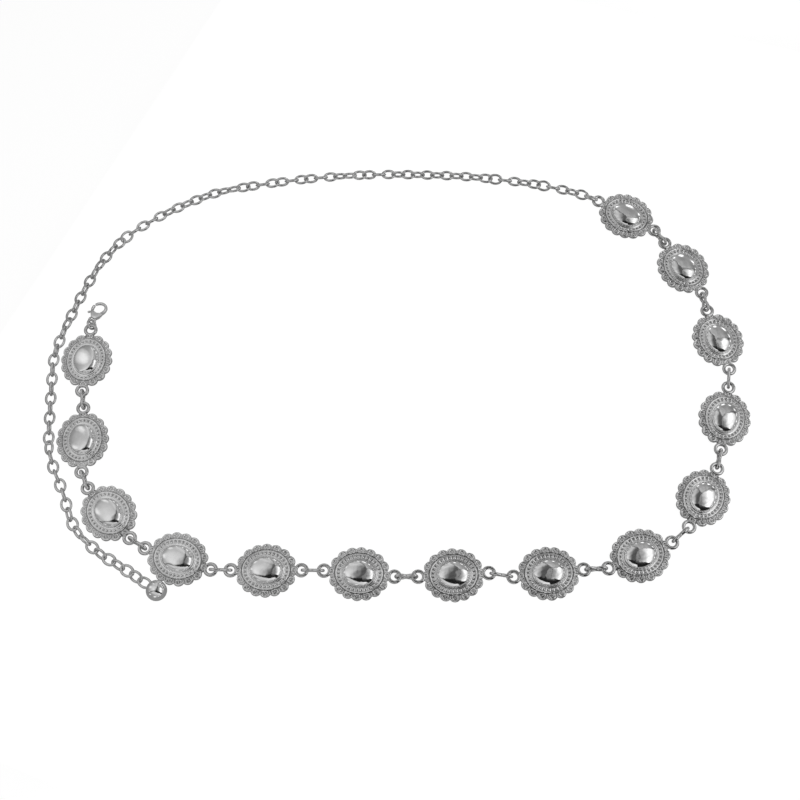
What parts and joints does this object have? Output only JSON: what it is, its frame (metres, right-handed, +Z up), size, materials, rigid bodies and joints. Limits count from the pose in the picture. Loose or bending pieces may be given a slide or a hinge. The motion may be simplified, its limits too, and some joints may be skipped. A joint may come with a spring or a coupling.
{
  "type": "concho waist chain",
  "caption": "Silver-tone waist chain of scalloped oval domed conchos joined by pinched wire links, with a lobster clasp and a long extension chain ending in a ball.",
  "frame": {"origin": "on the surface that the chain lies on, under the middle of its bounding box", "axes": "+Z up from the surface, +X along the longer way of the loop, with the clasp and the free chain end at -X, and the row of conchos nearest the viewer at -Y"},
  "size_m": [0.3592, 0.2392, 0.01],
  "materials": {
    "polished_plate": "bright silver plating over cast zinc alloy, polished on the domes",
    "bright_wire": "bright silver plated steel wire",
    "satin_plate": "softly tumbled silver plating"
  },
  "bodies": {
    "chain": {"concho_01": "polished_plate", "concho_02": "polished_plate", "concho_03": "polished_plate", "concho_04": "polished_plate", "concho_05": "polished_plate", "concho_06": "polished_plate", "concho_07": "polished_plate", "concho_08": "polished_plate", "concho_09": "polished_plate", "concho_10": "polished_plate", "concho_11": "polished_plate", "concho_12": "polished_plate", "concho_13": "polished_plate", "concho_14": "polished_plate", "connector_01": "bright_wire", "connector_02": "bright_wire", "connector_03": "bright_wire", "connector_04": "bright_wire", "connector_05": "bright_wire", "connector_06": "bright_wire", "connector_07": "bright_wire", "connector_08": "bright_wire", "connector_09": "bright_wire", "connector_10": "bright_wire", "connector_11": "bright_wire", "connector_12": "bright_wire", "connector_13": "bright_wire", "jump_ring": "bright_wire", "clasp_body": "satin_plate", "extension_chain": "bright_wire", "end_ball": "polished_plate"},
    "lever": {"clasp_lever": "satin_plate"}
  },
  "joints": [
    {"name": "clasp_gate", "type": "hinge", "parent": "chain", "child": "lever", "pos_m": [-0.15899, 0.03233, 0.0025], "axis": [0, 0, 1], "range_deg": [-26, 0], "stiffness_Nm_per_rad": 0.02, "springref_deg": 11.46}
  ]
}
